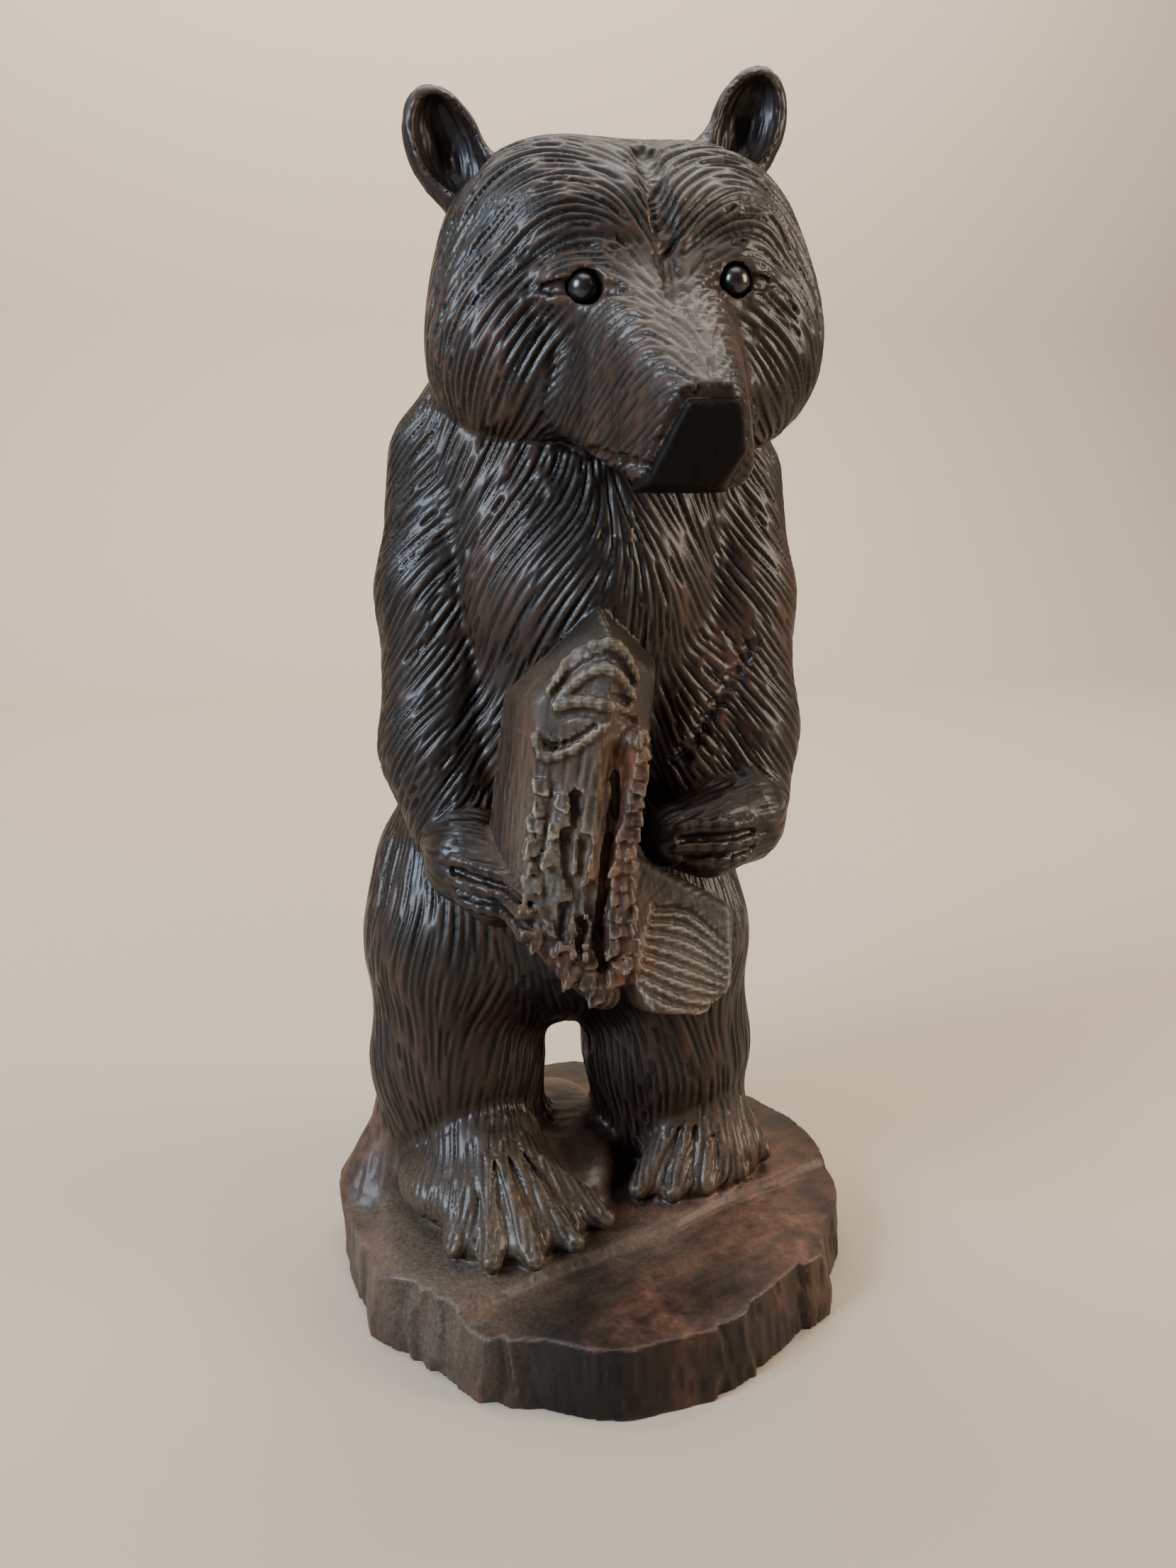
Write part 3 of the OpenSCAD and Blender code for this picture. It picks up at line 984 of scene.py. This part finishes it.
def trace_strokes(points, normals, heading, gap, reach, depth):
    """Follows the fur from scattered starts, each stroke stopping where it would run into another.
    Gives every stroke's points, and for each its stroke and how far along it lies."""
    finder = Boxes(1.0)
    table = finder.nearest(points, 1.8)
    spots = Boxes(0.6)
    taken = np.zeros(spots.counts.prod(), np.int32)
    covered = np.zeros(len(taken), bool)
    steps, far = spots.around(1.7)
    trail = []
    next_id = 1

    def mark(at, ids, room):
        for step, distance in zip(steps, far):
            wide = room > distance
            if not wide.any():
                continue
            key = spots.key(at[wide] + step)
            covered[key] = True
            close = (taken[key] == 0) & (0.55 * room[wide] > distance)
            taken[key[close]] = ids[wide][close]

    for turn in range(ROUNDS):
        # later rounds start closer together, to fill what is left
        starts_apart = Boxes(max(10 - 1.5 * turn, 4.0))
        free = np.flatnonzero((depth > 0.02) & ~covered[spots.key(points)])
        if len(free) < 20:
            break
        free = free[dice.permutation(len(free))]
        _, first = np.unique(starts_apart.key(points[free]), return_index=True)
        start = free[first]
        ids = next_id + np.arange(len(start), dtype=np.int32)
        next_id += len(start)
        mark(points[start], ids, 0.8 * gap[start])
        won = taken[spots.key(points[start])] == ids
        start, ids = start[won], ids[won]
        far_enough = reach[start] * dice.uniform(0.35, 0.65, len(start))
        trail.append((points[start], ids, np.zeros(len(start))))
        for way in (1, -1):
            at, who, limit = points[start].copy(), ids, far_enough
            last = heading[start] * way
            done = 0.0
            while len(at):
                v = table[finder.key(at)]
                ahead = heading[v] * way
                done += STEP
                beyond = at + ahead * STEP
                v2 = table[finder.key(beyond)]
                ok = (v2 >= 0) & (v >= 0)
                lift = ((beyond - points[v2]) * normals[v2]).sum(1, keepdims=True)
                beyond -= normals[v2] * lift
                holder = taken[spots.key(beyond)]
                ok &= (holder == 0) | (holder == who)
                ok &= (np.abs(lift[:, 0]) < 0.8) & (done < limit) & (depth[v2] > 0.02)
                ok &= ((ahead * last).sum(1) > 0.5) & ((normals[v] * normals[v2]).sum(1) > 0.5)
                at, who, limit, last, v2 = beyond[ok], who[ok], limit[ok], ahead[ok], v2[ok]
                mark(at, who, 0.8 * gap[v2])
                trail.append((at, who, np.full(len(at), done * way)))
    at = np.concatenate([t[0] for t in trail])
    who = np.concatenate([t[1] for t in trail])
    arc = np.concatenate([t[2] for t in trail]).astype(np.float32)
    v = table[finder.key(at)]
    return at, who, arc, v


def stroke_depth(fine, fine_normals, points, normals, heading, gap, reach, depth):
    """How deep the gouge has cut at every fine point."""
    at, who, arc, v = trace_strokes(points, normals, heading, gap, reach, depth)
    count = int(who.max()) + 1
    least, most = np.zeros(count, np.float32), np.zeros(count, np.float32)
    np.minimum.at(least, who, arc)
    np.maximum.at(most, who, arc)
    power = dice.uniform(0.55, 1.35, count).astype(np.float32)
    power[most - least < 3.0] = 0
    flip = np.where(dice.uniform(0, 1, count) < 0.2, -1, 1).astype(np.float32)
    along = heading[v]
    across = np.cross(normals[v], along)
    boxes = Boxes(0.55)
    table = boxes.nearest(at, 1.7)
    one = unit(np.cross(fine_normals, (0.36, 0.48, 0.8)))
    two = np.cross(fine_normals, one)
    out = np.zeros(len(fine), np.float32)
    for probe in (0 * one, 0.4 * one, -0.4 * one, 0.4 * two, -0.4 * two):
        k = table[boxes.key(fine + probe)]
        ok = np.flatnonzero(k >= 0)
        k = k[ok]
        rel = fine[ok] - at[k]
        s = arc[k] + (rel * along[k]).sum(1)
        side = (rel * across[k]).sum(1) * flip[who[k]]
        span = most[who[k]] - least[who[k]] + STEP
        u = (s - least[who[k]] + STEP / 2) / span
        taper = np.clip(np.minimum(u * 4, (1 - u) * 3), 0, 1) ** 0.8
        wide = gap[v[k]]
        profile = np.clip(np.where(side > 0, 1 - side / (0.38 * wide), 1 + side / (0.7 * wide)), 0, 1)
        cut = depth[v[k]] * power[who[k]] * taper * profile ** 1.2
        out[ok] = np.maximum(out[ok], cut)
    return out


# ---------------------------------------------------------------- pieces

def name_points(points, quads):
    """The node that each quad belongs to, with clean borders."""
    weight = np.eye(len(CARVED), dtype=np.float32)[bear.owner(points)]
    for _ in range(3):
        weight = 0.4 * weight + 0.6 * neighbour_mean(weight, quads)
    return weight.argmax(1), weight[quads].sum(1).argmax(1)


def rim_loops(quads, count):
    """The closed loops of edges that have a face on one side only."""
    a = quads.ravel()
    b = np.roll(quads, -1, 1).ravel()
    edges, times = np.unique(a * count + b, return_counts=True)
    starts, ends = edges // count, edges % count
    back = np.minimum(np.searchsorted(edges, ends * count + starts), len(edges) - 1)
    matched = np.where(edges[back] == ends * count + starts, times[back], 0)
    lone = np.maximum(times - matched, 0)
    following = {}
    for start, end in zip(np.repeat(starts, lone).tolist(), np.repeat(ends, lone).tolist()):
        following.setdefault(start, []).append(end)
    loops = []
    while following:
        first = next(iter(following))
        loop = [first]
        while True:
            ends = following[loop[-1]]
            step = ends.pop()
            if not ends:
                del following[loop[-1]]
            if step == first:
                break
            loop.append(step)
        loops.append(loop)
    return loops


def carved_piece(name, points, quads, normals, values):
    """One node's share of the carving, closed with a hidden face across each rim."""
    used, flat = np.unique(quads, return_inverse=True)
    quads = flat.reshape(-1, 4)
    p, n = points[used], normals[used]
    extra, caps = [p], []
    count = len(p)
    for loop in rim_loops(quads, len(p)):
        inner = count + np.arange(len(loop))
        hub = count + len(loop)
        extra += [p[loop] - 0.9 * n[loop], (p[loop] - 1.5 * n[loop]).mean(0, keepdims=True)]
        count = hub + 1
        for i in range(len(loop)):
            j = (i + 1) % len(loop)
            caps += [(loop[j], loop[i], inner[i]), (loop[j], inner[i], inner[j]), (inner[j], inner[i], hub)]
    p = np.concatenate(extra)
    n = np.concatenate([n, np.zeros((count - len(used), 3)) + (0, 0, 1)])
    mesh = bpy.data.meshes.new(name)
    mesh.vertices.add(len(p))
    mesh.vertices.foreach_set("co", (p * MM).astype(np.float32).ravel())
    corners = np.concatenate([quads.ravel(), np.array(caps, np.int64).ravel()])
    mesh.loops.add(len(corners))
    mesh.loops.foreach_set("vertex_index", corners.astype(np.int32))
    starts = np.concatenate([np.arange(len(quads)) * 4, len(quads) * 4 + np.arange(len(caps)) * 3])
    mesh.polygons.add(len(starts))
    mesh.polygons.foreach_set("loop_start", starts.astype(np.int32))
    mesh.update(calc_edges=True)
    mesh.polygons.foreach_set("use_smooth", np.ones(len(starts), bool))
    mesh.normals_split_custom_set_from_vertices(n.tolist())
    for title, value in values.items():
        column = np.zeros(len(p), np.float32)
        column[:len(used)] = value[used]
        mesh.attributes.new(title, "FLOAT", "POINT").data.foreach_set("value", column)
    piece = bpy.data.objects.new(name, mesh)
    bpy.context.collection.objects.link(piece)
    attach(piece, "root")
    return piece


# ---------------------------------------------------------------- materials

def ramp(tree, value, stops):
    node = tree.nodes.new("ShaderNodeValToRGB")
    tree.links.new(value, node.inputs["Fac"])
    first, last = node.color_ramp.elements
    first.position, first.color = stops[0][0], (*stops[0][1], 1)
    last.position, last.color = stops[-1][0], (*stops[-1][1], 1)
    for position, colour in stops[1:-1]:
        node.color_ramp.elements.new(position).color = (*colour, 1)
    return node.outputs["Color"]


def mix(tree, amount, a, b, kind="MIX"):
    node = tree.nodes.new("ShaderNodeMix")
    node.data_type = "RGBA"
    node.blend_type = kind
    for socket, value in ((node.inputs[0], amount), (node.inputs[6], a), (node.inputs[7], b)):
        if isinstance(value, bpy.types.NodeSocket):
            tree.links.new(value, socket)
        elif isinstance(value, tuple):
            socket.default_value = (*value, 1)
        else:
            socket.default_value = value
    return node.outputs[2]


def maths(tree, kind, a, b=0.0, clamp=False):
    node = tree.nodes.new("ShaderNodeMath")
    node.operation = kind
    node.use_clamp = clamp
    for socket, value in ((node.inputs[0], a), (node.inputs[1], b)):
        if isinstance(value, bpy.types.NodeSocket):
            tree.links.new(value, socket)
        else:
            socket.default_value = value
    return node.outputs[0]


def noise(tree, stretch, scale, detail=4.0, offset=0.0):
    place = tree.nodes.new("ShaderNodeTexCoord").outputs["Object"]
    scaling = tree.nodes.new("ShaderNodeMapping")
    scaling.inputs["Scale"].default_value = stretch
    scaling.inputs["Location"].default_value = (offset, offset, 0)
    tree.links.new(place, scaling.inputs["Vector"])
    node = tree.nodes.new("ShaderNodeTexNoise")
    node.inputs["Scale"].default_value = scale
    node.inputs["Detail"].default_value = detail
    tree.links.new(scaling.outputs["Vector"], node.inputs["Vector"])
    return node.outputs["Fac"]


def attribute(tree, name):
    node = tree.nodes.new("ShaderNodeAttribute")
    node.attribute_name = name
    return node.outputs["Fac"]


def wood(name, dark, brown, red, dust_and_highlight, polish=0.46, wax=0.16, gloss=0.26):
    """Dark carving wood: vertical grain, black in the cuts as painted shade, pale dusting and painted
    highlights on the high lines, under old wax.
    """
    material = bpy.data.materials.new(name)
    material.use_nodes = True
    tree = material.node_tree
    shader = tree.nodes["Principled BSDF"]
    cloud = noise(tree, (1, 1, 0.45), 38, 5)
    grain = noise(tree, (1, 1, 0.06), 900, 6, 3.0)
    streak = noise(tree, (1, 1, 0.12), 190, 4, 7.0)
    colour = ramp(tree, cloud, ((0.36, dark), (0.52, brown), (0.66, red)))
    streaks = ramp(tree, streak, ((0.32, (0.35, 0.33, 0.32)), (0.68, (1.6, 1.5, 1.4))))
    colour = mix(tree, 0.85, colour, streaks, "MULTIPLY")
    grains = ramp(tree, grain, ((0.35, (0.6, 0.58, 0.55)), (0.65, (1.3, 1.3, 1.3))))
    colour = mix(tree, 0.6, colour, grains, "MULTIPLY")
    # Painted shade: the deeper the gouge cut, the nearer the wood is painted to black
    cut = attribute(tree, "cut")
    colour = mix(tree, maths(tree, "MULTIPLY", cut, 0.93, True), colour, tuple(0.12 * c for c in dark))
    colour = mix(tree, attribute(tree, "warm"), colour, mix(tree, 0.95, colour, (3.4, 2.1, 1.2), "MULTIPLY"))
    # Painted shade from the dark attribute, with darker flutes on the slab's side
    colour = mix(tree, attribute(tree, "dark"), colour, mix(tree, 1.0, colour, (0.2, 0.18, 0.2), "MULTIPLY"))
    # Pale crest colour: painted highlight on every high line, and real dust where the dust marks lie
    high = attribute(tree, "high")
    speckle = noise(tree, (1, 1, 1), 1300, 3, 1.0)
    dust_and_highlight_amount = maths(tree, "MULTIPLY", high, maths(tree, "ADD", speckle, 0.25), True)
    colour = mix(tree, dust_and_highlight_amount, colour, dust_and_highlight)
    film = maths(tree, "MULTIPLY", attribute(tree, "film"), maths(tree, "ADD", speckle, -0.1), True)
    colour = mix(tree, film, colour, tuple(0.55 * c for c in dust_and_highlight))
    tree.links.new(colour, shader.inputs["Base Color"])
    rough = maths(tree, "ADD", maths(tree, "MULTIPLY", streak, 0.3), polish - 0.12)
    rough = maths(tree, "ADD", rough, maths(tree, "MULTIPLY", dust_and_highlight_amount, 0.4), True)
    tree.links.new(rough, shader.inputs["Roughness"])
    shader.inputs["Coat Weight"].default_value = wax
    shader.inputs["Coat Roughness"].default_value = 0.2
    shader.inputs["Specular IOR Level"].default_value = gloss
    bump = tree.nodes.new("ShaderNodeBump")
    bump.inputs["Strength"].default_value = 0.35
    bump.inputs["Distance"].default_value = 0.0003
    tree.links.new(grain, bump.inputs["Height"])
    tree.links.new(bump.outputs["Normal"], shader.inputs["Normal"])
    return material


def bead_material():
    """Black glass, with a faint brown body."""
    material = bpy.data.materials.new("bead")
    material.use_nodes = True
    tree = material.node_tree
    shader = tree.nodes["Principled BSDF"]
    cloud = noise(tree, (1, 1, 1), 260, 3)
    colour = ramp(tree, cloud, ((0.35, (0.004, 0.004, 0.005)), (0.7, (0.012, 0.011, 0.011))))
    tree.links.new(colour, shader.inputs["Base Color"])
    shader.inputs["Roughness"].default_value = 0.28
    shader.inputs["Coat Weight"].default_value = 0.3
    shader.inputs["Coat Roughness"].default_value = 0.22
    return material


def slot_of(node):
    if node.startswith("salmon"):
        return "salmon_wood"
    return {"base_slab": "slab_wood", "nose": "nose_wood"}.get(node, "bear_wood")


# Each wood's black, brown, red, and pale colour for dust and painted crest highlights, then its polish, wax
# and gloss where they differ
WOODS = {
    "bear_wood": ((0.005, 0.0034, 0.0028), (0.024, 0.0125, 0.008), (0.052, 0.024, 0.0135),
                  (0.21, 0.155, 0.105)),
    "slab_wood": ((0.009, 0.0055, 0.0045), (0.042, 0.022, 0.0145), (0.085, 0.041, 0.026),
                  (0.27, 0.205, 0.155), 0.5, 0.08),
    "salmon_wood": ((0.006, 0.004, 0.003), (0.026, 0.016, 0.011), (0.054, 0.028, 0.016), (0.40, 0.33, 0.25),
                    0.5, 0.08),
    "nose_wood": ((0.002, 0.0014, 0.0013), (0.004, 0.0025, 0.0022), (0.010, 0.004, 0.003),
                  (0.03, 0.022, 0.018), 0.5, 0.0, 0.12),
}
MATERIALS = {name: wood(name, *look) for name, look in WOODS.items()}


def high_lines(points, quads):
    """How far each point stands above its surroundings, for worn edges, dusting and painted highlights on the
    crests.
    """
    smooth = points
    for _ in range(3):
        smooth = neighbour_mean(smooth, quads)
    return ((points - smooth) * vertex_normals(points, quads)).sum(1)


# Marks on the wood: a node, a place beside its middle, a radius, and how strong the mark is.
# Pale dust has stayed on the fish, its tail, the toes, the hewn step and the brow
DUST = (("salmon_head", (0, -8, 2), 11, 1.0), ("salmon_body", (-9, -6, 8), 9, 0.7),
        ("salmon_tail", (2, -5, -2), 10, 1.0), ("right_foot", (6, -24, -6), 10, 0.7),
        ("left_foot", (2, -18, -6), 11, 0.8), ("head", (3, -18, 12), 10, 0.4),
        ("base_slab", (12, -24, 8), 12, 0.6))

# Painted shade lies thick under the chin, on the belly, between the legs, by the paws, in the ears, on the
# fish and under its tail
SHADE_MARKS = (("torso", (6, -22, 28), 13, 0.7), ("hips", (4, -28, -8), 18, 1.0),
        ("salmon_body", (4, -8, 8), 6, 0.9), ("salmon_body", (2, -10, -14), 6, 0.9),
        ("left_paw", (-4, -8, -4), 11, 0.6), ("right_paw", (2, -8, -4), 10, 0.5),
        ("right_ear", (0, 0, -2), 9, 0.6), ("left_ear", (0, 0, -2), 9, 0.6),
        ("base_slab", (-2, -8, 8), 12, 0.7), ("salmon_tail", (0, 0, -13), 7, 0.7))

# The wood shows orange-brown down the scales of the fish's right side, and along its lower edge
WARM = [("salmon_body", place, 4.2, 1.0) for place in
        ((9, -5, 16), (7, -6, 6), (5, -8, -4), (5, -9, -14), (4, -10, -22), (-6, -8, -19))]

# Old dust lies as a thin film on the fish's left side and tail, the slab's front left, toes and muzzle
FILM = (("salmon_body", (-7, -8, 4), 8, 0.45), ("salmon_body", (-8, -8, -6), 7, 0.35),
        ("salmon_head", (-2, -8, -1), 8, 0.45), ("salmon_tail", (3, -5, 0), 8, 0.5),
        ("base_slab", (-36, -34, 4), 13, 0.9), ("base_slab", (-46, -10, 8), 11, 0.8),
        ("base_slab", (8, -24, 8), 9, 0.6), ("right_foot", (2, -18, -3), 10, 0.6),
        ("left_foot", (0, -10, -2), 9, 0.6), ("muzzle", (-4, -8, 8), 10, 0.1))


def marked(p, marks, start=0.0):
    """How strongly a set of marks covers each point."""
    out = np.full(len(p), start, np.float32)
    for node, place, radius, amount in marks:
        out += amount * bell(p, near(node, *place), radius)
    return out


def dust_and_crest_highlight(p):
    """A little pale colour everywhere as painted highlight on the crests, more in the places of real dusting,
    and none on the nose.
    """
    return np.clip(marked(p, DUST, 0.3), 0, 1) * (1 - bell(p, mid("nose"), 8))


def darkness(p, n):
    """Painted shade in its places and on whatever faces down, and darker down some of the slab's flutes."""
    out = marked(p, SHADE_MARKS)
    wall = (np.abs(n[:, 2]) < 0.6) & (p[:, 2] < GROUND) & (np.hypot(p[:, 0], p[:, 1]) > 0.8 * SLAB[0])
    angle = np.degrees(np.arctan2(p[:, 1], p[:, 0])) % 360
    out += wall * np.interp(angle, flute_angle, flute_tone, period=360)
    return np.clip(out + 0.35 * np.clip(-n[:, 2], 0, 1), 0, 1)


# How far uncut wood stands out, and the depth at which a cut is painted fully dark as shade
SKIN = 0.12
FULL_CUT = 0.34


def carve():
    """Build the whole carving, cut its strokes, and hand each node its own piece."""
    points, quads = build_surface()
    normals = vertex_normals(points, quads)
    label, quad_label = name_points(points, quads)
    lie = lie_of_fur(points, normals, label)
    fine, fine_quads = subdivide(points, quads)
    fine = relax(fine, fine_quads, 0.4)
    fine_normals = vertex_normals(fine, fine_quads)
    depth = stroke_depth(fine, fine_normals, points, normals, *lie)
    fine = fine - fine_normals * (depth - SKIN)[:, None]
    fine[:, 2] = np.maximum(fine[:, 2], 0)
    high = high_lines(fine, fine_quads)
    # cut paints shade into the gouge cuts, darker the deeper they go
    # dark is painted shade under the chin, on the belly, between the legs and on faces turned down
    # high is pale crest colour: painted highlight on every crest, with real dust in its places
    values = {"cut": np.clip(depth / FULL_CUT, 0, 1), "high": np.clip(high * 3 - 0.1, 0, 1) * dust_and_crest_highlight(fine),
              "dark": darkness(fine, fine_normals), "warm": np.clip(marked(fine, WARM), 0, 1),
              "film": np.clip(marked(fine, FILM), 0, 1)}
    shading = vertex_normals(fine, fine_quads)
    fine_label = np.repeat(quad_label, 4)
    for i, name in enumerate(CARVED):
        mine = fine_quads[fine_label == i]
        piece = carved_piece(name + "_carving", fine, mine, shading, values)
        piece.data.materials.append(MATERIALS[slot_of(name)])
        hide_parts(name)


carve()
for name in EYES:
    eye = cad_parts[name]
    eye.data.materials.clear()
    eye.data.materials.append(bead_material())


# ---------------------------------------------------------------- camera, light and floor
# The camera's place across and in front in mm, its height as a share of the figure's, its lens in mm,
# and its heading and drop in degrees
CAMERA = (-44.2, -244.0)
CAMERA_HEIGHT = 0.687
LENS = 27.05
HEADING = -10
DROP = 14.4


def place_camera():
    """Eye level a little above the shoulders, at arm's length, to the bear's right of its nose."""
    height = float(node_box["left_ear"][1][2])
    data = bpy.data.cameras.new("camera")
    data.sensor_width = 36
    data.lens = LENS
    data.clip_start = 0.01
    camera = bpy.data.objects.new("camera", data)
    camera.location = np.array([*CAMERA, CAMERA_HEIGHT * height]) * MM
    camera.rotation_euler = (math.pi / 2 - math.radians(DROP), 0, math.radians(HEADING))
    bpy.context.collection.objects.link(camera)
    bpy.context.scene.camera = camera


def soft_light(name, place, target, size, power, colour):
    data = bpy.data.lights.new(name, "AREA")
    data.shape = "RECTANGLE"
    data.size, data.size_y = size
    data.energy = power
    data.color = colour
    lamp = bpy.data.objects.new(name, data)
    lamp.location = place
    away = np.array(place) - np.array(target)
    tilt = math.acos(away[2] / np.linalg.norm(away))
    lamp.rotation_euler = (tilt, 0, math.atan2(away[1], away[0]) + math.pi / 2)
    bpy.context.collection.objects.link(lamp)


# Each lamp's place, what it shines on, its size, all in metres, its power in watts and its colour
AIM = (0, 0, 0.13)
LAMPS = {
    "window": ((-0.75, -0.35, 0.55), AIM, (0.35, 0.45), 16, (0.70, 0.85, 1.0)),
    "room": ((0.8, -0.25, 0.45), AIM, (0.4, 0.5), 10, (1.0, 0.84, 0.66)),
    "ceiling": ((0.05, -0.1, 1.1), AIM, (0.7, 0.7), 5, (1.0, 0.95, 0.88)),
    "wall": ((0, 0.45, 1.1), (0, 1.1, 0.45), (1.6, 0.4), 34, (1.0, 0.95, 0.87)),
}


def set_lights():
    for name, lamp in LAMPS.items():
        soft_light(name, *lamp)
    world = bpy.data.worlds.new("studio")
    world.use_nodes = True
    back = world.node_tree.nodes["Background"]
    back.inputs["Color"].default_value = (0.85, 0.76, 0.66, 1)
    back.inputs["Strength"].default_value = 0.1
    bpy.context.scene.world = world


def lay_floor():
    """A pale sheet: flat under the figure, and curved up into a wall far behind it."""
    bend, wall, wide = 0.35, 0.75, 4.0
    profile = [(-3.0, 0.0)]
    for i in range(25):
        a = math.radians(90 * i / 24)
        profile.append((wall + bend * math.sin(a), bend - bend * math.cos(a)))
    profile.append((wall + bend, 3.0))
    corners = [(x, y, z) for y, z in profile for x in (-wide, wide)]
    faces = [(2 * i, 2 * i + 1, 2 * i + 3, 2 * i + 2) for i in range(len(profile) - 1)]
    mesh = bpy.data.meshes.new("floor")
    mesh.from_pydata(corners, [], faces)
    mesh.polygons.foreach_set("use_smooth", [True] * len(faces))
    floor = bpy.data.objects.new("floor", mesh)
    material = bpy.data.materials.new("floor")
    material.use_nodes = True
    shader = material.node_tree.nodes["Principled BSDF"]
    shader.inputs["Base Color"].default_value = (0.40, 0.33, 0.26, 1)
    shader.inputs["Roughness"].default_value = 0.75
    mesh.materials.append(material)
    bpy.context.collection.objects.link(floor)


place_camera()
set_lights()
lay_floor()

bpy.context.view_layer.update()
